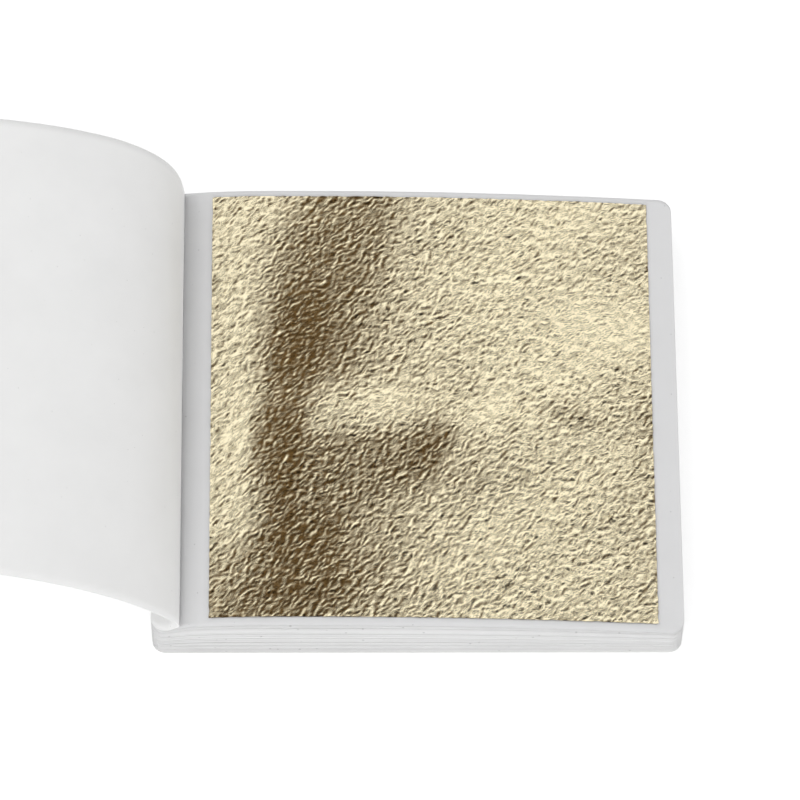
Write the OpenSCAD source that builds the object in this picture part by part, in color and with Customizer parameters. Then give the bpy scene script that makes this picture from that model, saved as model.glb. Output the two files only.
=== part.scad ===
// Booklet of metal leaf, open at its first leaf with the front cover turned back.
// One hundred thin square leaves each lie loose on a paper page. The pages and both covers
// are held by two wire staples through a narrow strip along the spine, and fold at the crease
// beside that strip. Lengths are in millimetres.
// Origin: centre of the block's underside. +X runs to the fore-edge, +Y to the head, +Z up.

/* [Leaf] */
// Number of leaves, each with its own page
leaf_count = 100; // [25:1:125]
// Leaf width, from the spine side to the fore-edge side
leaf_w = 80; // [60:1:100]
// Leaf depth, from tail to head
leaf_d = 85; // [60:1:105]
// Leaf thickness, stouter than the beaten metal so that it is a solid
leaf_t = 0.012; // [0.008:0.002:0.02]

/* [Pages] */
// Page thickness
page_t = 0.054; // [0.04:0.002:0.1]
// Bare page between the crease and the leaf
inner_margin = 5.3; // [3:0.1:8]
// Bare page between the leaf and the fore-edge
fore_margin = 4.6; // [2:0.1:8]
// Bare page between the leaf and the tail edge
tail_margin = 1.5; // [0.8:0.1:5]
// Bare page between the leaf and the head edge
head_margin = 1.2; // [0.8:0.1:5]
// Radius of the trimmed corners
corner_r = 2.4; // [1:0.1:4]

/* [Binding] */
// Width of the stapled strip, from the spine edge to the crease
bound_w = 5; // [4:0.1:8]
// Width of the flat part of that strip, squeezed under the staples
clamped_w = 3.2; // [2.4:0.1:3.8]
// Length of a staple's crown
staple_w = 12; // [8:0.5:16]
// Distance of each staple's middle from the middle of the spine
staple_offset = 22; // [12:0.5:26]
// Thickness of the flat staple wire
wire_t = 0.45; // [0.3:0.05:0.5]
// Width of the flat staple wire
wire_w = 0.55; // [0.4:0.05:0.8]
// Length of each bent-over leg end
clinch_l = 4; // [2.5:0.1:5]

/* [Looseness of the stack] */
// Air beside each leaf under the staples
air_clamped = 0.026; // [0.016:0.001:0.05]
// Air beside each leaf at the crease
air_crease = 0.040; // [0.02:0.001:0.06]
// Air beside each leaf at the crown, where the stack swells most
air_crown = 0.051; // [0.02:0.001:0.08]
// Air beside each leaf at the fore-edge
air_fore = 0.012; // [0.01:0.001:0.05]
// Distance from the crease to the crown
crown_at = 20.5; // [12:0.5:30]

/* [Covers] */
// Thickness of the front cover
cover_t = 0.2; // [0.12:0.01:0.4]
// Thickness of the back cover, a board
board_t = 0.6; // [0.55:0.05:1.2]
// Lie of the turned cover where it leaves the crease, in degrees from +X
first_lie = 100; // [90:1:120]
// Bend of the turned cover at each of its folds, from the crease outwards, in degrees
fold_bend = [22, 20, 18, 16, 12];
// Distance from the crease to each fold along the tail edge; the cover curls tightest there
fold_tail = [2.4, 5.2, 20.5, 34, 57];
// Distance from the crease to each fold along the head edge
fold_head = [8.8, 16.8, 25.5, 34, 57];

/* [Clearances] */
// Gap along each fold, between the two sides of it
fold_gap = 0.2; // [0.1:0.02:0.4]
// Gap round the staple wire
wire_gap = 0.05; // [0.02:0.01:0.1]
// Gap between surfaces that rest on each other
rest_gap = 0.01; // [0.01:0.005:0.05]

/* [Hidden] */
page_colour = [0.87, 0.87, 0.86];
cover_colour = [0.94, 0.94, 0.94];
board_colour = [0.83, 0.83, 0.82];
leaf_colour = [0.82, 0.71, 0.48];
wire_colour = [0.72, 0.73, 0.75];

// Plan of the block
free_w = inner_margin + leaf_w + fore_margin;
block_w = bound_w + free_w;
block_d = tail_margin + leaf_d + head_margin;
spine_x = -block_w / 2;
clamp_x = spine_x + clamped_w;
crease_x = spine_x + bound_w;
crown_x = crease_x + crown_at;
fore_x = block_w / 2;
fold_x = crease_x + fold_gap / 2;
leaf_x = crease_x + inner_margin;
leaf_y = -block_d / 2 + tail_margin;

// Places along a sheet's section, closer together where it bends more
rise_steps = 4;
fall_steps = 5;
corner_steps = 4;
stations = concat(
    [spine_x, clamp_x],
    [for (i = [0 : rise_steps - 1]) crease_x + crown_at * i / rise_steps],
    [for (i = [0 : fall_steps]) crown_x + (fore_x - crown_x) * i / fall_steps]
);

// Loose pages that turn by themselves, and the size of the bundles that the rest are counted in
turning_pages = 2;
bundle_size = 7;
bundle_count = ceil((leaf_count - turning_pages) / bundle_size);

// Air beside a leaf: least under the staples, swelling to the crown, falling to the fore-edge
function air(x) =
    x <= clamp_x ? air_clamped
    : x <= crease_x ? air_clamped + (air_crease - air_clamped) * (x - clamp_x) / (crease_x - clamp_x)
    : x <= crown_x ? air_crown - (air_crown - air_crease) * pow((crown_x - x) / crown_at, 3)
    : air_crown - (air_crown - air_fore) * pow((x - crown_x) / (fore_x - crown_x), 2);

// Underside of page k at a station; page 1 is the top one, and page 0 stands for the front cover
function page_z(k, x) = board_t + rest_gap + (leaf_count - k) * (page_t + leaf_t + air(x));
function page_bottom(k) = [for (x = stations) [x, page_z(k, x)]];
function leaf_bottom(k) = [for (x = stations) [x, page_z(k, x) + page_t + air(x) / 2]];

// Closed section of a sheet of thickness t over an underside curve, cut off at x0 and x1
function sheet_section(under, t, x0, x1) =
    let (xs = concat([x0], [for (x = stations) if (x > x0 && x < x1) x], [x1]))
    concat(
        [for (x = xs) [x, lookup(x, under)]],
        [for (i = [len(xs) - 1 : -1 : 0]) [xs[i], lookup(xs[i], under) + t]]
    );

// Turned cover, drawn flat first: X from the crease outwards, Y as the block. Fold 0 is the crease,
// and the last one stands for the free edge. side is -1 at the tail end and 1 at the head end.
cover_z = page_z(0, crease_x) + cover_t / 2;
cover_w = free_w - fold_gap / 2;
panel_count = len(fold_bend) + 1;
function fold_dist(j, side) =
    j == 0 ? 0
    : j == panel_count ? cover_w
    : side < 0 ? fold_tail[j - 1] : fold_head[j - 1];
function fold_end(j, side) = [fold_dist(j, side), side * block_d / 2, 0];

// Staples
staple_x = spine_x + clamped_w / 2;
crown_z = page_z(0, spine_x) + cover_t + rest_gap;
leg_y = staple_w / 2 - wire_t / 2;

// Names of the bundles, such as pages_003_009
function pad(n) = str(n < 100 ? "0" : "", n < 10 ? "0" : "", n);
function bundle_first(b) = turning_pages + 1 + b * bundle_size;
function bundle_last(b) = min(leaf_count, bundle_first(b) + bundle_size - 1);
function bundle_name(kind, b) = str(kind, "_", pad(bundle_first(b)), "_", pad(bundle_last(b)));
function panel_name(j) = str("front_cover_panel_", j + 1);

// Corner of a sheet: an arc about an inner point, starting at angle a
function corner(x, y, a) =
    [for (i = [0 : corner_steps]) [x, y] + corner_r * [cos(a + 90 * i / corner_steps), sin(a + 90 * i / corner_steps)]];

module block_outline() {
    x = block_w / 2 - corner_r;
    y = block_d / 2 - corner_r;
    polygon(concat(corner(x, y, 0), corner(-x, y, 90), corner(-x, -y, 180), corner(x, -y, 270)));
}

module at_each_leg()
    for (side = [-1, 1], leg = [-1, 1])
        translate([staple_x, side * staple_offset + leg * leg_y]) children();

// The trimmed and punched outline that every sheet of the block shares
module punched_outline()
    difference() {
        block_outline();
        at_each_leg() square([wire_w + 2 * wire_gap, wire_t + 2 * wire_gap], center = true);
    }

// Runs a section drawn in X and Z along Y
module along_y(depth)
    rotate([90, 0, 0])
        linear_extrude(height = depth, center = true) children();

// Pages first to last, cut off at x0 and x1 and trimmed to the shared outline
module pages(first, last, x0, x1, t = page_t)
    intersection() {
        along_y(block_d + 1)
            for (k = [first : last]) polygon(sheet_section(page_bottom(k), t, x0, x1));
        linear_extrude(height = 4 * page_z(0, crown_x)) punched_outline();
    }

// Leaves first to last, square-cut and smaller than the pages that they lie on
module leaves(first, last)
    translate([0, leaf_y + leaf_d / 2])
        along_y(leaf_d)
            for (k = [first : last]) polygon(sheet_section(leaf_bottom(k), leaf_t, leaf_x, leaf_x + leaf_w));

// The part of a turning page or cover that stays in the stapled strip, and the part that turns
module bound_edge(k, t) pages(k, k, spine_x - 1, crease_x, t);
module free_page(k) pages(k, k, crease_x + fold_gap, fore_x + 1);

// Carries what is drawn on the flat cover to where panel j stands
module on_panel(j)
    if (j == 0)
        translate([fold_x, 0, cover_z]) rotate([0, -first_lie, 0]) children();
    else
        on_panel(j - 1)
            translate(fold_end(j, -1))
                rotate(a = -fold_bend[j - 1], v = fold_end(j, 1) - fold_end(j, -1))
                    translate(-fold_end(j, -1)) children();

// One stretch of the turned cover, flat between two folds that need not be parallel. The first one
// starts a cover's thickness further out, clear of its bound edge and of raised pages.
module cover_panel(j) {
    start = fold_gap / 2 + (j == 0 ? cover_t : 0);
    end = j == panel_count - 1 ? 0 : fold_gap / 2;
    on_panel(j)
        translate([0, 0, -cover_t / 2])
            linear_extrude(height = cover_t)
                intersection() {
                    translate([cover_w - block_w / 2, 0]) block_outline();
                    polygon([
                        [fold_dist(j, -1) + start, -block_d / 2],
                        [fold_dist(j + 1, -1) - end, -block_d / 2],
                        [fold_dist(j + 1, 1) - end, block_d / 2],
                        [fold_dist(j, 1) + start, block_d / 2]
                    ]);
                }
}

// Board under the block, punched for the legs and grooved for their bent-over ends
module back_cover()
    color(board_colour)
        difference() {
            linear_extrude(height = board_t) punched_outline();
            for (side = [-1, 1]) translate([staple_x, side * staple_offset]) clinch_grooves();
        }

module clinch_grooves()
    for (leg = [-1, 1])
        translate([0, leg * (leg_y + wire_t / 2 + wire_gap - (clinch_l + 2 * wire_gap) / 2), 0])
            cube([wire_w + 2 * wire_gap, clinch_l + 2 * wire_gap, 2 * (wire_t + wire_gap)], center = true);

// Flat wire staple: crown over the strip, legs through the block, ends bent in under the board
module staple(side)
    color(wire_colour)
        translate([staple_x, side * staple_offset, 0]) {
            translate([-wire_w / 2, -staple_w / 2, crown_z]) cube([wire_w, staple_w, wire_t]);
            for (leg = [-1, 1])
                scale([1, leg, 1]) {
                    translate([-wire_w / 2, staple_w / 2 - wire_t, 0]) cube([wire_w, wire_t, crown_z + wire_t]);
                    translate([-wire_w / 2, staple_w / 2 - clinch_l, 0]) cube([wire_w, clinch_l, wire_t]);
                }
        }

back_cover();
color(cover_colour) bound_edge(0, cover_t);  // front_cover_bound_edge
for (j = [0 : panel_count - 1])
    color(cover_colour) cover_panel(j);
color(page_colour) free_page(1);  // page_001
color(page_colour) bound_edge(1, page_t);  // page_001_bound_edge
color(page_colour) free_page(2);  // page_002
color(page_colour) bound_edge(2, page_t);  // page_002_bound_edge
color(leaf_colour) leaves(1, 1);  // leaf_001
color(leaf_colour) leaves(2, 2);  // leaf_002
for (b = [0 : bundle_count - 1])
    color(page_colour) pages(bundle_first(b), bundle_last(b), spine_x - 1, fore_x + 1);
for (b = [0 : bundle_count - 1])
    color(leaf_colour) leaves(bundle_first(b), bundle_last(b));
staple(-1);  // staple_tail
staple(1);  // staple_head
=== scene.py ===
import math

import bpy
import numpy as np
from mathutils import Matrix, Vector


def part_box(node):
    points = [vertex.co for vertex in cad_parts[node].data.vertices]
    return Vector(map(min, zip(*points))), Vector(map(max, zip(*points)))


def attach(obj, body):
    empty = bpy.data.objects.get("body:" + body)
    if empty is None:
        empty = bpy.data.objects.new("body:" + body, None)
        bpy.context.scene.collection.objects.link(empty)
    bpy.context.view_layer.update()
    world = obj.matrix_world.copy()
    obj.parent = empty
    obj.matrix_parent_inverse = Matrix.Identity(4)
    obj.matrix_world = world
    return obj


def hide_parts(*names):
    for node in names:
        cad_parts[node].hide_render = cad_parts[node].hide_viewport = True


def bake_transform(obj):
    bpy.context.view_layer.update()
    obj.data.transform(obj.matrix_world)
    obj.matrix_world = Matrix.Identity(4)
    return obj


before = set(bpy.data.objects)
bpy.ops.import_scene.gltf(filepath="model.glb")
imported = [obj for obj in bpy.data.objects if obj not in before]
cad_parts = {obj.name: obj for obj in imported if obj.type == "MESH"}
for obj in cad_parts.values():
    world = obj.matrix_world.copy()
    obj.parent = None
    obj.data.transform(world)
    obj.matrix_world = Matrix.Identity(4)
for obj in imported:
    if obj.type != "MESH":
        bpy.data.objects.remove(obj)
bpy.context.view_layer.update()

# Camera, at the photograph's viewing angle: above the tail edge, tipped 27 degrees from
# straight down, with a long lens. The block fills the right two thirds of the frame.
mm = 0.001
look_at = Vector((-2.9, 1.8, 10)) * mm
camera_tilt = math.radians(26.77)
camera_yaw = math.radians(-1.64)
camera_roll = math.radians(1.41)
camera_distance = 1.0
camera_data = bpy.data.cameras.new("camera")
camera_data.lens = 248.46
camera_data.sensor_width = 36
camera_data.clip_start = 0.01
camera = bpy.data.objects.new("camera", camera_data)
bpy.context.scene.collection.objects.link(camera)
camera_turn = (
    Matrix.Rotation(camera_yaw, 4, "Z")
    @ Matrix.Rotation(camera_tilt, 4, "X")
    @ Matrix.Rotation(camera_roll, 4, "Z")
)
camera.matrix_world = Matrix.Translation(look_at) @ camera_turn @ Matrix.Translation((0, 0, camera_distance))
bpy.context.scene.camera = camera
bpy.context.scene.view_settings.view_transform = "Standard"

# Table: a pale sweep of studio paper, flat under the booklet and curving up all round far away.
# It shows white to the camera and in the metal, and keeps the booklet's shadow.
sweep_radius = 3.0
sweep_bend = 0.4
sweep_height = 0.5
sweep_sides = 96
sweep_arc_steps = 16
sweep_white = 0.86
sweep_glow = 0.42


def new_material(name):
    material = bpy.data.materials.new(name)
    material.use_nodes = True
    material.node_tree.nodes.clear()
    return material, material.node_tree.nodes, material.node_tree.links


def new_object(name, vertices, faces, material, smooth=True):
    mesh = bpy.data.meshes.new(name)
    mesh.from_pydata([tuple(v) for v in vertices], [], [tuple(f) for f in faces])
    mesh.materials.append(material)
    mesh.polygons.foreach_set("use_smooth", [smooth] * len(mesh.polygons))
    mesh.update()
    made = bpy.data.objects.new(name, mesh)
    bpy.context.scene.collection.objects.link(made)
    return made


def sweep_paper():
    material, nodes, links = new_material("sweep_paper")
    out = nodes.new("ShaderNodeOutputMaterial")
    paper = nodes.new("ShaderNodeBsdfDiffuse")
    paper.inputs["Color"].default_value = (sweep_white, sweep_white, sweep_white, 1)
    glow = nodes.new("ShaderNodeEmission")
    path = nodes.new("ShaderNodeLightPath")
    seen = nodes.new("ShaderNodeMath")
    seen.operation = "MAXIMUM"
    links.new(path.outputs["Is Camera Ray"], seen.inputs[0])
    links.new(path.outputs["Is Glossy Ray"], seen.inputs[1])
    also_seen = nodes.new("ShaderNodeMath")
    also_seen.operation = "MAXIMUM"
    links.new(seen.outputs[0], also_seen.inputs[0])
    links.new(path.outputs["Is Transmission Ray"], also_seen.inputs[1])
    level = nodes.new("ShaderNodeMath")
    level.operation = "MULTIPLY"
    level.inputs[1].default_value = sweep_glow
    links.new(also_seen.outputs[0], level.inputs[0])
    links.new(level.outputs[0], glow.inputs["Strength"])
    both = nodes.new("ShaderNodeAddShader")
    links.new(paper.outputs[0], both.inputs[0])
    links.new(glow.outputs[0], both.inputs[1])
    links.new(both.outputs[0], out.inputs["Surface"])
    return material


sweep_profile = [(0.0, 0.0), (sweep_radius, 0.0)]
for step in range(1, sweep_arc_steps + 1):
    turn = math.pi / 2 * step / sweep_arc_steps
    sweep_profile.append(
        (sweep_radius + sweep_bend * math.sin(turn), sweep_bend * (1 - math.cos(turn)))
    )
sweep_profile.append((sweep_radius + sweep_bend, sweep_height))
sweep_points = [(0, 0, 0)]
for radius, height in sweep_profile[1:]:
    for side in range(sweep_sides):
        turn = 2 * math.pi * side / sweep_sides
        sweep_points.append((radius * math.cos(turn), radius * math.sin(turn), height))
sweep_faces = []
for side in range(sweep_sides):
    after = (side + 1) % sweep_sides
    sweep_faces.append((0, 1 + side, 1 + after))
    for ring in range(len(sweep_profile) - 2):
        low = 1 + ring * sweep_sides
        high = low + sweep_sides
        sweep_faces.append((low + side, high + side, high + after, low + after))
table = new_object("table", sweep_points, sweep_faces, sweep_paper())

# Studio light: an evenly bright white tent with one dark opening overhead, towards the tail and the
# fore-edge, so that the metal has something bright and something dark to show. One wide soft lamp
# low at the tail lights the upright faces, and the metal doesn't show it.
dark_opening = Vector((0.36, -0.32, 0.88)).normalized()
opening_rim = (0.67, 0.88)
bright_room = 1.18
dim_room = 0.1
world = bpy.data.worlds.new("room")
world.use_nodes = True
bpy.context.scene.world = world
room_nodes, room_links = world.node_tree.nodes, world.node_tree.links
room_place = room_nodes.new("ShaderNodeTexCoord")
room_side = room_nodes.new("ShaderNodeVectorMath")
room_side.operation = "DOT_PRODUCT"
room_side.inputs[1].default_value = dark_opening
room_links.new(room_place.outputs["Generated"], room_side.inputs[0])
room_level = room_nodes.new("ShaderNodeMapRange")
room_level.interpolation_type = "SMOOTHSTEP"
room_level.inputs["From Min"].default_value = opening_rim[0]
room_level.inputs["From Max"].default_value = opening_rim[1]
room_level.inputs["To Min"].default_value = bright_room
room_level.inputs["To Max"].default_value = dim_room
room_links.new(room_side.outputs["Value"], room_level.inputs["Value"])
room_links.new(room_level.outputs["Result"], room_nodes["Background"].inputs["Strength"])
room_nodes["Background"].inputs["Color"].default_value = (1, 1, 1, 1)
lamp_place = Vector((0.1, -1.7, 0.6))
lamp_data = bpy.data.lights.new("tail_lamp", "AREA")
lamp_data.shape = "DISK"
lamp_data.size = 1.8
lamp_data.energy = 14
lamp = bpy.data.objects.new("tail_lamp", lamp_data)
lamp.location = lamp_place
lamp.rotation_euler = (look_at - lamp_place).to_track_quat("-Z", "Y").to_euler()
lamp.visible_glossy = False
bpy.context.scene.collection.objects.link(lamp)

# Outline and height of the block, from the frame. Every sheet is trimmed to one rounded outline,
# clamped low along the spine, swollen at the crown and thinner again at the fore-edge.
block_low, block_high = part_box("back_cover")
board_top = block_high.z
page_t = 0.054 * mm
corner_r = 2.4 * mm
sheets_under_top = 99
smoothing = 1.6 * mm
either_side = np.linspace(-1, 1, 9)
crease_dip = 0.05 * mm
crease_dip_reach = 1.5 * mm
crease_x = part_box("page_001_bound_edge")[1].x
fold_x = (crease_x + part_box("page_001")[0].x) / 2


def top_curve(*names):
    points = [v.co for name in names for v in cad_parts[name].data.vertices]
    highest = {}
    for point in points:
        key = round(point.x, 6)
        highest[key] = max(highest.get(key, 0), point.z)
    return np.array(sorted(highest.items()))


block_curve = top_curve("page_001_bound_edge", "page_001")


def block_top(x):
    x = np.asarray(x, float)
    total = 0
    for shift in either_side:
        at = np.where(x > fold_x, np.maximum(x + shift * smoothing, fold_x), x)
        total = total + np.interp(at, block_curve[:, 0], block_curve[:, 1])
    dip = crease_dip * np.exp(-(((x - fold_x) / crease_dip_reach) ** 2))
    return total / len(either_side) - dip


def sheet_under(number, x):
    pitch = (block_top(x) - page_t - board_top) / sheets_under_top
    return board_top + (sheets_under_top + 1 - number) * pitch


def half_depth_at(x, low, high, depth, radius, ends):
    reach = np.full_like(np.asarray(x, float), depth)
    for edge, on in ((low, ends[0]), (high, ends[1])):
        inside = np.abs(x - edge)
        near = np.clip(radius - inside, 0, radius)
        if on:
            reach = np.where(
                inside < radius, depth - radius + np.sqrt(radius**2 - near**2), reach
            )
    return reach


def slab(top, bottom, open_first=False, open_last=False):
    rows, columns = top.shape[:2]
    count = rows * columns
    points = np.concatenate([top.reshape(-1, 3), bottom.reshape(-1, 3)])
    faces = []
    for i in range(rows - 1):
        for j in range(columns - 1):
            a = i * columns + j
            faces.append((a, a + columns, a + columns + 1, a + 1))
            faces.append((count + a, count + a + 1, count + a + columns + 1, count + a + columns))
    rim = [(0, j) for j in range(columns)]
    rim += [(i, columns - 1) for i in range(1, rows)]
    rim += [(rows - 1, j) for j in range(columns - 2, -1, -1)]
    rim += [(i, 0) for i in range(rows - 2, 0, -1)]
    for (i, j), (k, m) in zip(rim, rim[1:] + rim[:1]):
        if (open_first and i == k == 0) or (open_last and i == k == rows - 1):
            continue
        a, b = i * columns + j, k * columns + m
        faces.append((a, b, count + b, count + a))
    return points, faces


# Back cover: a sheet of white-lined board, punched and grooved for the staples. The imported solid
# has its shape, so it only takes its finish here: a faint grey fleck in a smooth white lining.
paper_grain = 5200
paper_grain_high = 0.02 * mm
paper_mottle = 90
paper_mottle_tone = 0.965
paper_flecks = 420
paper_fleck_tone = 0.72
paper_sheen = 0.25


def paper(name, colour, flecks, roughness=0.7, bump=0.25):
    material, nodes, links = new_material(name)
    out = nodes.new("ShaderNodeOutputMaterial")
    surface = nodes.new("ShaderNodeBsdfPrincipled")
    surface.inputs["Roughness"].default_value = roughness
    surface.inputs["Specular IOR Level"].default_value = paper_sheen
    place = nodes.new("ShaderNodeTexCoord")
    mottle = nodes.new("ShaderNodeTexNoise")
    mottle.inputs["Scale"].default_value = paper_mottle
    mottle.inputs["Detail"].default_value = 6
    mottle.inputs["Roughness"].default_value = 0.6
    links.new(place.outputs["Object"], mottle.inputs["Vector"])
    tone = nodes.new("ShaderNodeMapRange")
    tone.inputs["From Min"].default_value = 0.3
    tone.inputs["From Max"].default_value = 0.7
    tone.inputs["To Min"].default_value = paper_mottle_tone
    tone.inputs["To Max"].default_value = 1.0
    links.new(mottle.outputs["Fac"], tone.inputs["Value"])
    speck = nodes.new("ShaderNodeTexVoronoi")
    speck.feature = "F1"
    speck.inputs["Scale"].default_value = paper_flecks
    links.new(place.outputs["Object"], speck.inputs["Vector"])
    rare = nodes.new("ShaderNodeMapRange")
    rare.inputs["From Min"].default_value = flecks
    rare.inputs["From Max"].default_value = flecks * 0.3
    rare.inputs["To Min"].default_value = 1.0
    rare.inputs["To Max"].default_value = paper_fleck_tone
    links.new(speck.outputs["Distance"], rare.inputs["Value"])
    level = nodes.new("ShaderNodeMath")
    level.operation = "MULTIPLY"
    links.new(tone.outputs["Result"], level.inputs[0])
    links.new(rare.outputs["Result"], level.inputs[1])
    shade = nodes.new("ShaderNodeMix")
    shade.data_type = "RGBA"
    shade.inputs["A"].default_value = (0, 0, 0, 1)
    shade.inputs["B"].default_value = (*colour, 1)
    links.new(level.outputs[0], shade.inputs["Factor"])
    links.new(shade.outputs["Result"], surface.inputs["Base Color"])
    grain = nodes.new("ShaderNodeTexNoise")
    grain.inputs["Scale"].default_value = paper_grain
    grain.inputs["Detail"].default_value = 3
    links.new(place.outputs["Object"], grain.inputs["Vector"])
    relief = nodes.new("ShaderNodeBump")
    relief.inputs["Strength"].default_value = bump
    relief.inputs["Distance"].default_value = paper_grain_high
    links.new(grain.outputs["Fac"], relief.inputs["Height"])
    links.new(relief.outputs["Normal"], surface.inputs["Normal"])
    links.new(surface.outputs[0], out.inputs["Surface"])
    return material


def refinish(node, material):
    node_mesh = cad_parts[node].data
    node_mesh.materials.clear()
    node_mesh.materials.append(material)


refinish("back_cover", paper("white_lined_board", (0.74, 0.74, 0.73), 0.05))

# Staples: two, of flat zinc-coated steel wire, driven through the strip along the spine and bent
# over under the board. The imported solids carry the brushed, slightly dull zinc.
zinc_strokes = (9000, 300, 9000)
zinc_roughness = (0.25, 0.5)
zinc_stroke_high = 0.01 * mm


def staple_zinc():
    material, nodes, links = new_material("staple_zinc")
    out = nodes.new("ShaderNodeOutputMaterial")
    zinc = nodes.new("ShaderNodeBsdfPrincipled")
    zinc.inputs["Metallic"].default_value = 1
    zinc.inputs["Base Color"].default_value = (0.62, 0.63, 0.65, 1)
    place = nodes.new("ShaderNodeTexCoord")
    stretch = nodes.new("ShaderNodeMapping")
    stretch.inputs["Scale"].default_value = zinc_strokes
    links.new(place.outputs["Object"], stretch.inputs["Vector"])
    drawn = nodes.new("ShaderNodeTexNoise")
    drawn.inputs["Scale"].default_value = 1
    drawn.inputs["Detail"].default_value = 4
    links.new(stretch.outputs["Vector"], drawn.inputs["Vector"])
    dull = nodes.new("ShaderNodeMapRange")
    dull.inputs["To Min"].default_value = zinc_roughness[0]
    dull.inputs["To Max"].default_value = zinc_roughness[1]
    links.new(drawn.outputs["Fac"], dull.inputs["Value"])
    links.new(dull.outputs["Result"], zinc.inputs["Roughness"])
    relief = nodes.new("ShaderNodeBump")
    relief.inputs["Strength"].default_value = 0.2
    relief.inputs["Distance"].default_value = zinc_stroke_high
    links.new(drawn.outputs["Fac"], relief.inputs["Height"])
    links.new(relief.outputs["Normal"], zinc.inputs["Normal"])
    links.new(zinc.outputs[0], out.inputs["Surface"])
    return material


for staple in ("staple_tail", "staple_head"):
    refinish(staple, staple_zinc())

# Block: 98 sheets of thin white interleaf under the two that turn, each a sheet of its own, cut to
# one outline by the knife. It swells their edges, and they shift by hundredths of a millimetre.
chance = np.random.default_rng(7)
sheet_paper = paper("interleaf_paper", (0.79, 0.79, 0.79), 0.13)
page_paper = paper("page_paper", (0.78, 0.78, 0.785), 0.07)
knife_rim = 0.7 * mm
swell = 0.97
trim_shift = 0.035 * mm
under_page_step = 0.3 * mm
under_page_fade = 9
edge_wave = 0.012 * mm
edge_wave_knots = 9
outermost = 0.999
corner_columns = np.array([0, 0.12, 0.5, 1.1, 1.8, 2.4]) * mm
column_pitch = 4.2 * mm


def smooth_noise(count, knots, size):
    at = np.linspace(0, knots - 1, count)
    return np.interp(at, np.arange(knots), chance.normal(0, size, knots))


def columns_between(low, high, ends):
    left = corner_columns if ends[0] else corner_columns[:1]
    right = corner_columns if ends[1] else corner_columns[:1]
    start, stop = low + left[-1], high - right[-1]
    count = max(2, int((stop - start) / column_pitch))
    middle = np.linspace(start, stop, count + 1)[1:-1]
    return np.concatenate([low + left, middle, high - right[::-1]])


def loose_sheet(number, low, high, ends, thickness, swollen):
    x = columns_between(low, high, ends)
    shift_y = chance.normal(0, trim_shift)
    depth = block_high.y - abs(shift_y)
    if number > 2:
        depth = depth - under_page_step * math.exp(-(number - 3) / under_page_fade)
    reach = half_depth_at(x, low, high, depth, corner_r, ends)
    share = np.array([-1, -1 + knife_rim / depth, 0, 1 - knife_rim / depth, 1])
    y = reach[:, None] * share[None, :] + shift_y
    from_end = np.full(len(x), knife_rim)
    for edge, on in ((low, ends[0]), (high, ends[1])):
        if on:
            from_end = np.minimum(from_end, np.abs(x - edge))
    at_edge = np.maximum(np.abs(share[None, :]) > outermost, (1 - from_end / knife_rim)[:, None])
    pitch = (block_top(x) - page_t - board_top) / sheets_under_top
    thick = thickness + (np.maximum(pitch * swell, thickness) - thickness)[:, None] * at_edge * swollen
    wave = smooth_noise(len(x), edge_wave_knots, edge_wave)[:, None] * at_edge
    z = sheet_under(number, x)[:, None] + wave
    top = np.stack([np.broadcast_to(x[:, None], y.shape), y, z + thick], axis=-1)
    bottom = np.stack([np.broadcast_to(x[:, None], y.shape), y, z], axis=-1)
    return slab(top, bottom)


def join(parts):
    points, faces, start = [], [], 0
    for part_points, part_faces in parts:
        points.append(part_points)
        faces += [tuple(start + i for i in face) for face in part_faces]
        start += len(part_points)
    return np.concatenate(points), faces


bundles = sorted(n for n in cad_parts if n.startswith("pages_"))
for bundle in bundles:
    first, last = [int(part) for part in bundle.split("_")[1:]]
    sheets = []
    for number in range(first, last + 1):
        low = block_low.x + abs(chance.normal(0, trim_shift))
        high = block_high.x - abs(chance.normal(0, trim_shift))
        sheets.append(loose_sheet(number, low, high, (True, True), page_t, 1))
    stack = new_object(bundle.replace("pages", "sheets"), *join(sheets), sheet_paper, smooth=False)
    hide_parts(bundle)
    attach(stack, "root")

# Leaves: beaten metal, 80 by 85 mm, one on each page. From the third on they stay in the block, and
# only the top one of these ever shows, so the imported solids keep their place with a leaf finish.
metal_roughness = 0.22
metal_edge_tint = (0.86, 0.77, 0.54, 1)
bright_metal = (0.88, 0.79, 0.555, 1)
# Darkest colour of the metal: painted shade on the first two leaves, and darker clouds of random tone on the
# stacked ones.
cloud_and_painted_shade_metal = (0.125, 0.072, 0.024, 1)
stacked_fold_size = 1.9
cloud_scale = 26
cloud_range = (0.36, 0.56)
cloud_tone = 0.35
fold_wander = 620
fold_wander_reach = (1.8 * mm, 1.8 * mm, 0)
fold_families = ((30, 1.0), (58, 0.6))
fold_along = 1.3 * mm
fold_across = 0.45 * mm
fold_crest = 0.10
fold_high = 0.06 * mm
fold_strength = 0.75


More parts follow.
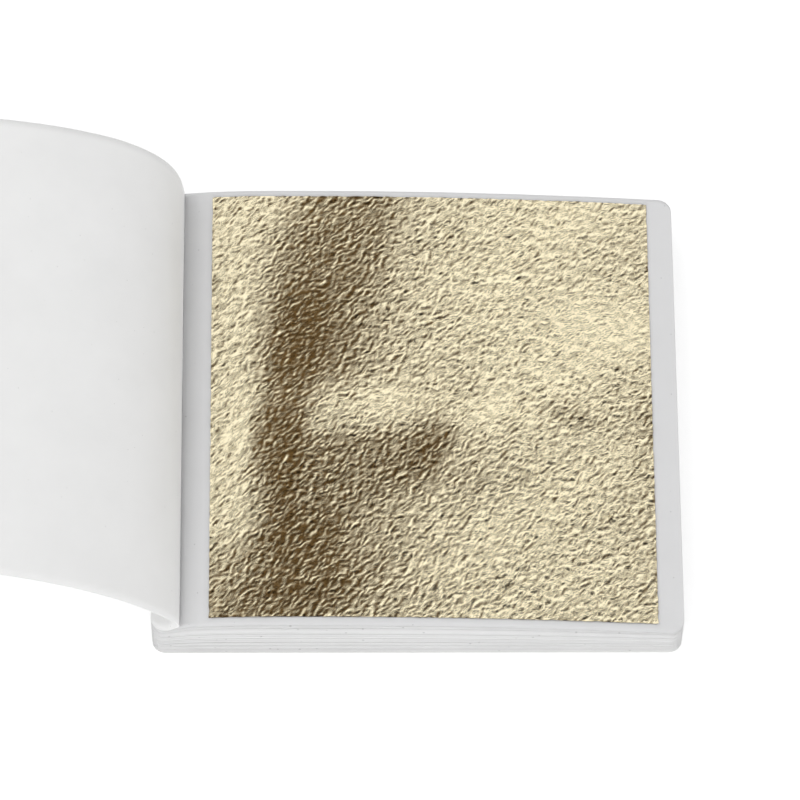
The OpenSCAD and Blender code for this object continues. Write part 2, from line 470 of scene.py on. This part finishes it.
def beaten_metal(name, crinkled):
    material, nodes, links = new_material(name)
    out = nodes.new("ShaderNodeOutputMaterial")
    metal = nodes.new("ShaderNodeBsdfPrincipled")
    metal.inputs["Metallic"].default_value = 1
    metal.inputs["Roughness"].default_value = metal_roughness
    metal.inputs["Specular Tint"].default_value = metal_edge_tint
    place = nodes.new("ShaderNodeTexCoord")
    fold_size = 1.0 if crinkled else stacked_fold_size
    shade = nodes.new("ShaderNodeMix")
    shade.data_type = "RGBA"
    shade.inputs["A"].default_value = cloud_and_painted_shade_metal
    shade.inputs["B"].default_value = bright_metal
    links.new(shade.outputs["Result"], metal.inputs["Base Color"])
    # The crinkled leaf mixes by its tone attribute, which holds painted shade and painted highlights; the
    # stacked leaves mix by random clouds.
    if crinkled:
        tone = nodes.new("ShaderNodeAttribute")
        tone.attribute_name = "tone"
        links.new(tone.outputs["Fac"], shade.inputs["Factor"])
    else:
        clouds = nodes.new("ShaderNodeTexNoise")
        clouds.inputs["Scale"].default_value = cloud_scale
        clouds.inputs["Detail"].default_value = 3
        links.new(place.outputs["Object"], clouds.inputs["Vector"])
        tone = nodes.new("ShaderNodeMapRange")
        tone.inputs["From Min"].default_value = cloud_range[0]
        tone.inputs["From Max"].default_value = cloud_range[1]
        tone.inputs["To Min"].default_value = cloud_tone
        links.new(clouds.outputs["Fac"], tone.inputs["Value"])
        links.new(tone.outputs["Result"], shade.inputs["Factor"])
    wander = nodes.new("ShaderNodeTexNoise")
    wander.inputs["Scale"].default_value = fold_wander
    wander.inputs["Detail"].default_value = 0
    links.new(place.outputs["Object"], wander.inputs["Vector"])
    pushed = nodes.new("ShaderNodeVectorMath")
    pushed.operation = "MULTIPLY_ADD"
    pushed.inputs[1].default_value = fold_wander_reach
    links.new(wander.outputs["Color"], pushed.inputs[0])
    links.new(place.outputs["Object"], pushed.inputs[2])
    folds = None
    for degrees, share in fold_families:
        lie = nodes.new("ShaderNodeMapping")
        lie.vector_type = "TEXTURE"
        lie.inputs["Rotation"].default_value = (0, 0, math.radians(degrees))
        lie.inputs["Scale"].default_value = (fold_along * fold_size, fold_across * fold_size, 1)
        lie.inputs["Location"].default_value = (degrees * mm, 0, 0)
        links.new(pushed.outputs[0], lie.inputs["Vector"])
        swing = nodes.new("ShaderNodeTexNoise")
        swing.inputs["Scale"].default_value = 1
        swing.inputs["Detail"].default_value = 0
        links.new(lie.outputs["Vector"], swing.inputs["Vector"])
        level = nodes.new("ShaderNodeMath")
        level.operation = "SUBTRACT"
        level.inputs[1].default_value = 0.5
        links.new(swing.outputs["Fac"], level.inputs[0])
        away = nodes.new("ShaderNodeMath")
        away.operation = "ABSOLUTE"
        links.new(level.outputs[0], away.inputs[0])
        fold = nodes.new("ShaderNodeMapRange")
        fold.inputs["From Min"].default_value = 0.0
        fold.inputs["From Max"].default_value = fold_crest
        fold.inputs["To Min"].default_value = share
        fold.inputs["To Max"].default_value = 0
        links.new(away.outputs[0], fold.inputs["Value"])
        if folds is None:
            folds = fold.outputs["Result"]
        else:
            sum_of_folds = nodes.new("ShaderNodeMath")
            links.new(folds, sum_of_folds.inputs[0])
            links.new(fold.outputs["Result"], sum_of_folds.inputs[1])
            folds = sum_of_folds.outputs[0]
    relief = nodes.new("ShaderNodeBump")
    relief.inputs["Strength"].default_value = fold_strength
    relief.inputs["Distance"].default_value = fold_high * fold_size**2
    links.new(folds, relief.inputs["Height"])
    links.new(relief.outputs["Normal"], metal.inputs["Normal"])
    links.new(metal.outputs[0], out.inputs["Surface"])
    return material


hidden_leaf = beaten_metal("stacked_leaf", crinkled=False)
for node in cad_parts:
    if node.startswith("leaves_"):
        refinish(node, hidden_leaf)

# Turning pages: the first two, thin greyish white interleaf. Each is held in the stapled strip and
# folds at the crease, so a narrow bound edge stays behind when the free part turns.
page_bodies = {1: "upper_page", 2: "lower_page"}
for number, body in page_bodies.items():
    node = f"page_{number:03d}"
    strip = loose_sheet(number, block_low.x, fold_x, (True, False), page_t, 0)
    bound = new_object(f"{node}_in_strip", *strip, page_paper)
    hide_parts(f"{node}_bound_edge")
    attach(bound, "root")
    free = loose_sheet(number, fold_x, block_high.x, (False, True), page_t, 0)
    page = new_object(f"{node}_free", *free, page_paper)
    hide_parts(node)
    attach(page, body)

# First two leaves: square-cut foil a thousandth of a millimetre thick. It lies on its page in
# broad soft waves, and all of it is finely crinkled, with most folds running up to the right.
crinkle_slope = 30
crinkle_across = 0.78 * mm
crinkle_along = 2.1 * mm
wander_size = 3.2 * mm
wander_reach = 0.33 * mm


def crinkle_field(columns, rows, cell, across, along, degrees):
    noise = chance.normal(0, 1, (columns, rows))
    fx = np.fft.fftfreq(columns, cell)[:, None]
    fy = np.fft.fftfreq(rows, cell)[None, :]
    turn = math.radians(degrees)
    f_along = fx * math.cos(turn) + fy * math.sin(turn)
    f_across = -fx * math.sin(turn) + fy * math.cos(turn)
    reach = (f_across * across) ** 2 + (f_along * along) ** 2
    band = reach * np.exp(-reach)
    field = np.fft.ifft2(np.fft.fft2(noise) * band).real
    return field / field.std()


# The folds wander: each point takes its height from a place a little to one side of it.
def crinkles(columns, rows, cell):
    straight = crinkle_field(columns, rows, cell, crinkle_across, crinkle_along, crinkle_slope)
    column, row = np.meshgrid(np.arange(columns), np.arange(rows), indexing="ij")
    reach = wander_reach / cell
    column = column + reach * crinkle_field(columns, rows, cell, wander_size, wander_size, 0)
    row = row + reach * crinkle_field(columns, rows, cell, wander_size, wander_size, 0)
    i, j = np.floor(column).astype(int), np.floor(row).astype(int)
    part_i, part_j = column - i, row - j
    total = 0
    for step_i, weight_i in ((0, 1 - part_i), (1, part_i)):
        for step_j, weight_j in ((0, 1 - part_j), (1, part_j)):
            near = straight[(i + step_i) % columns, (j + step_j) % rows]
            total = total + weight_i * weight_j * near
    return total / total.std()


# A broad wave of the foil: a rounded ridge (or hollow, where high is negative) along a line,
# with its own width on each side of the line.
def ridge(x, y, start, end, high, left_width, right_width, crispness=2):
    (x0, y0), (x1, y1) = start, end
    length = math.hypot(x1 - x0, y1 - y0)
    along = ((x - x0) * (x1 - x0) + (y - y0) * (y1 - y0)) / length**2
    side = ((x - x0) * (y1 - y0) - (y - y0) * (x1 - x0)) / length
    width = np.where(side < 0, left_width, right_width)
    past = np.maximum(np.maximum(-along, along - 1), 0) * length
    past_width = 0.6 * (left_width + right_width)
    return high * np.exp(-(np.abs(side / width) ** crispness) - (past / past_width) ** 2)


# Each wave: where it starts and ends, in mm from the leaf's corner at the spine and tail, its
# height in mm, and its widths to the left and the right of someone walking from start to end.
leaf_waves = [
    ((9, 32), (7, 90), 0.46, 8, 17),
    ((3, -4), (5, 30), 0.26, 6, 10),
    ((17, 40), (46, 38), 0.46, 6, 12),
    ((31, 14), (47, 42), -0.22, 10, 4),
    ((14, 26), (23, -6), 0.34, 6, 8),
    ((31, 50), (46, 92), -0.15, 8, 10),
    ((52, 30), (84, 62), 0.17, 6, 8),
    ((46, 55), (78, 88), 0.14, 7, 7),
    ((40, 4), (86, 34), 0.15, 6, 8),
    ((60, 0), (84, 12), 0.11, 5, 6),
    ((62, 44), (66, 41), 0.17, 2.5, 2),
    ((78, 42), (81, 38), 0.14, 2.5, 2),
]
# Painted shade: darker, browner places of the metal, standing in for dark reflections, in the same form,
# with depth in place of height and then how crisp the sides are.
leaf_painted_shades = [
    ((17, 54), (24, 92), 0.62, 9, 12, 4),
    ((11.5, 34), (16, 60), 0.93, 4.2, 5.5, 4),
    ((13.5, 14), (12, 38), 0.72, 3.8, 3.2, 3),
    ((2, 4), (18, 11), 0.72, 10, 13, 4),
    ((15, 6), (16, 14), 0.45, 4, 4, 2),
    ((14, 32), (42, 34), 0.40, 3.6, 11, 4),
    ((41, 37), (39, 31), 0.45, 3, 4, 3),
    ((63, 42), (66, 41), 0.25, 2.5, 3, 2),
    ((79, 41), (80, 38), 0.22, 2.5, 2.5, 2),
]
# Painted highlights: brighter places of the metal, standing in for bright reflections, in the same form.
leaf_painted_lights = [
    ((66, 56), (82, 60), 0.30, 9, 9, 2),
    ((16, 41), (30, 43), 0.30, 4, 5, 2),
    ((62, 0), (60, 86), 0.40, 22, 24, 3),
    ((60, 80), (84, 84), 0.12, 8, 8, 2),
]
# Smoother places of the foil, in the same form, with the missing share of the crinkle as height.
leaf_calms = [
    ((66, 60), (80, 57), 0.55, 6, 6, 2),
    ((68, 78), (80, 80), 0.3, 5, 6, 2),
]
leaf_w = 80
leaf_d = 85
crinkle_high = 0.05 * mm
crinkle_lift = 3
plain_tone = 0.72
# Strength of the painted light and shade on the crinkle's flanks.
painted_flank_light = 2.0
edge_unevenness = 0.07 * mm
edge_knots = 60
uneven_w = 1.2
flat_edge_w = 7
flat_edge_share = 0.08
page_gap = 0.01 * mm
flat_lie = 0.06


def leaf_height(u, v):
    waves = sum(ridge(u, v, *wave) for wave in leaf_waves)
    edge = np.minimum(np.minimum(u, leaf_w - u), np.minimum(v, leaf_d - v))
    waves = waves * (flat_edge_share + (1 - flat_edge_share) * np.clip(edge / flat_edge_w, 0, 1))
    return (waves + np.sqrt(waves**2 + flat_lie**2)) / 2


def leaf_piece(name, node, number, cell, body):
    low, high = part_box(node)
    columns = int(round((high.x - low.x) / cell)) + 1
    rows = int(round((high.y - low.y) / cell)) + 1
    x = np.linspace(low.x, high.x, columns)[:, None] + np.zeros((1, rows))
    y = np.linspace(low.y, high.y, rows)[None, :] + np.zeros((columns, 1))
    u, v = (x - low.x) / mm, (y - low.y) / mm
    calm = sum(ridge(u, v, *place) for place in leaf_calms)
    fine = crinkles(columns, rows, cell) * (1 - calm)
    raised = leaf_height(u, v) * mm
    z = sheet_under(number, x) + page_t + page_gap + raised + crinkle_high * (fine + crinkle_lift)
    uneven = np.abs(smooth_noise(rows, edge_knots, edge_unevenness))[None, :]
    inward = np.clip(1 - np.minimum(u, leaf_w - u) / uneven_w, 0, 1)
    x = x + inward * np.sign(leaf_w / 2 - u) * uneven
    uneven = np.abs(smooth_noise(columns, edge_knots, edge_unevenness))[:, None]
    inward = np.clip(1 - np.minimum(v, leaf_d - v) / uneven_w, 0, 1)
    y = y + inward * np.sign(leaf_d / 2 - v) * uneven
    # Painted shade and painted highlights in the tone: darker in the painted-shade places, brighter in the
    # painted-highlight places, and brighter on flanks facing the spine and the head, darker on flanks facing
    # the fore-edge and the tail, as if lit from the spine and head side.
    shade = 1 - np.prod([1 - ridge(u, v, *place) for place in leaf_painted_shades], axis=0)
    light = sum(ridge(u, v, *place) for place in leaf_painted_lights)
    lit_flank = np.gradient(z, cell, axis=0) - np.gradient(z, cell, axis=1)
    tone = (plain_tone + light) * (1 - shade) + painted_flank_light * np.clip(lit_flank, -1, 1)
    points = np.stack([x, y, z], axis=-1).reshape(-1, 3)
    first = (np.arange(columns - 1)[:, None] * rows + np.arange(rows - 1)[None, :]).ravel()
    faces = np.stack([first, first + rows, first + rows + 1, first + 1], axis=-1)
    leaf = new_object(name, points, faces.tolist(), foil)
    tones = leaf.data.attributes.new("tone", "FLOAT", "POINT")
    tones.data.foreach_set("value", np.clip(tone, 0, 1).astype(np.float32).ravel())
    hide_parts(node)
    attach(leaf, body)


foil = beaten_metal("gold_leaf", crinkled=True)
leaf_piece("leaf_001_foil", "leaf_001", 1, 0.28 * mm, "upper_leaf")
leaf_piece("leaf_002_foil", "leaf_002", 2, 0.5 * mm, "lower_leaf")

# Front cover: one sheet of smooth white paper, stiffer than the pages, held in the stapled strip
# and turned back over it. It curls tightest at the tail end of the crease, so the lines along
# which it bends fan out towards the head. It is drawn flat first, then bent along those lines.
cover_t = 0.2 * mm
cover_w = 89.8 * mm
block_d = block_high.y - block_low.y
cover_lie = 96.8
bend_so_far = np.array([0, 14, 30, 46, 62, 76, 93])
bend_at_tail = np.array([0.3, 0.8, 2.4, 12, 26, 42, 76]) * mm
bend_at_head = np.array([4, 9, 14, 20, 27, 41, 78]) * mm
small_bends = 182
fold_at_tail = np.array([0, 2.4, 5.2, 20.5, 34, 57]) * mm
fold_at_head = np.array([0, 8.8, 16.8, 25.5, 34, 57]) * mm
crease_round = 0.35 * mm
bend_span = 0.85
last_bend_span = 1.75
normal_step = 0.05 * mm
cover_rows = 61
thin_column = 0.0005
curl_columns = np.concatenate([[0, 0.004], np.linspace(0.02, 0.98, 41), [0.996, 1]])
cover_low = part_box("front_cover_bound_edge")[0]
strip_curve = top_curve("front_cover_bound_edge")
cover_z = strip_curve[-1, 1] - cover_t / 2


def turned_frames():
    turn = Matrix.Rotation(math.radians(-cover_lie), 4, "Y")
    steps = [Matrix.Translation((fold_x, 0, cover_z)) @ turn]
    bends = (np.arange(small_bends) + 0.5) * bend_so_far[-1] / small_bends
    tails = np.interp(bends, bend_so_far, bend_at_tail)
    heads = np.interp(bends, bend_so_far, bend_at_head)
    for tail, head in zip(tails, heads):
        at = Vector((tail, -block_d / 2, 0))
        line = Vector((head - tail, block_d, 0))
        bend = Matrix.Rotation(-math.radians(bend_so_far[-1] / small_bends), 4, line)
        steps.append(steps[-1] @ Matrix.Translation(at) @ bend @ Matrix.Translation(-at))
    return np.array(steps), tails, heads


cover_steps, bend_tails, bend_heads = turned_frames()


def bent(s, y):
    share = y / block_d + 0.5
    passed = bend_tails[None, :] * (1 - share[:, None]) + bend_heads[None, :] * share[:, None]
    step = (passed < s[:, None]).sum(axis=1)
    flat = np.stack([s, y, np.zeros_like(s), np.ones_like(s)], axis=-1)
    free = np.einsum("nij,nj->ni", cover_steps[step], flat)[:, :3]
    strip_z = np.interp(fold_x + s, strip_curve[:, 0], strip_curve[:, 1]) - cover_t / 2
    held = np.stack([fold_x + s, y, strip_z], axis=-1)
    return np.where(s[:, None] < 0, held, free)


def cover_middle(s, y):
    total = 0
    for shift in either_side:
        total = total + bent(s + shift * crease_round, y)
    return total / len(either_side)


def cover_surface(s, y, side):
    s, y = s.ravel(), y.ravel()
    along = cover_middle(s + normal_step, y) - cover_middle(s - normal_step, y)
    across = cover_middle(s, y + normal_step) - cover_middle(s, y - normal_step)
    normal = np.cross(along, across)
    normal /= np.linalg.norm(normal, axis=1)[:, None]
    return cover_middle(s, y) + side * cover_t / 2 * normal


def cover_piece(name, tail_from, tail_to, head_from, head_to, columns, joins):
    share = np.linspace(0, 1, cover_rows)[None, :]
    across = np.asarray(columns)[:, None]
    s = (tail_from + (tail_to - tail_from) * across) * (1 - share)
    s = s + (head_from + (head_to - head_from) * across) * share
    reach = half_depth_at(s, cover_low.x - fold_x, cover_w, block_d / 2, corner_r, (True, True))
    y = (2 * share - 1) * reach
    top = cover_surface(s, y, 1).reshape(*s.shape, 3)
    bottom = cover_surface(s, y, -1).reshape(*s.shape, 3)
    return new_object(name, *slab(top, bottom, *joins), cover_paper)


cover_paper = paper("cover_paper", (0.93, 0.93, 0.925), 0.05, roughness=0.6, bump=0.18)
panels = len(fold_at_tail)
edges_tail = np.append(fold_at_tail, cover_w)
edges_head = np.append(fold_at_head, cover_w)
middles_tail = (edges_tail[1:] + edges_tail[:-1]) / 2
middles_head = (edges_head[1:] + edges_head[:-1]) / 2
strip_start = cover_low.x - fold_x
crease_columns = np.concatenate([
    strip_start + corner_columns,
    np.linspace(strip_start + 3 * mm, -0.6 * mm, 5),
    np.linspace(-0.5, 0.9, 20) * mm,
])
crease_share = (crease_columns - strip_start) / (middles_tail[0] - strip_start)
crease_share = np.append(crease_share[crease_share < 1], (1 - thin_column, 1))
crease_piece = cover_piece(
    "cover_crease",
    strip_start,
    middles_tail[0],
    strip_start,
    middles_head[0],
    crease_share,
    (False, True),
)
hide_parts("front_cover_bound_edge", "front_cover_panel_1")
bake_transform(crease_piece)
for fold in range(1, panels):
    last = fold == panels - 1
    end_tail = cover_w if last else middles_tail[fold]
    end_head = cover_w if last else middles_head[fold]
    share = curl_columns
    if last:
        share = np.append(share[:-5], 1 - corner_columns[::-1] / (cover_w - middles_tail[fold - 1]))
    curl = cover_piece(
        f"cover_curl_{fold}",
        middles_tail[fold - 1],
        end_tail,
        middles_head[fold - 1],
        end_head,
        share,
        (True, not last),
    )
    line = Vector((fold_at_head[fold] - fold_at_tail[fold], block_d, 0)).normalized()
    before = min(fold_at_tail[fold] - middles_tail[fold - 1], fold_at_head[fold] - middles_head[fold - 1])
    after = min(middles_tail[fold] - fold_at_tail[fold], middles_head[fold] - fold_at_head[fold])
    before = bend_span * before * line.y
    after = (last_bend_span if last else bend_span) * after * line.y
    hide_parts(f"front_cover_panel_{fold + 1}")
    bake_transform(curl)
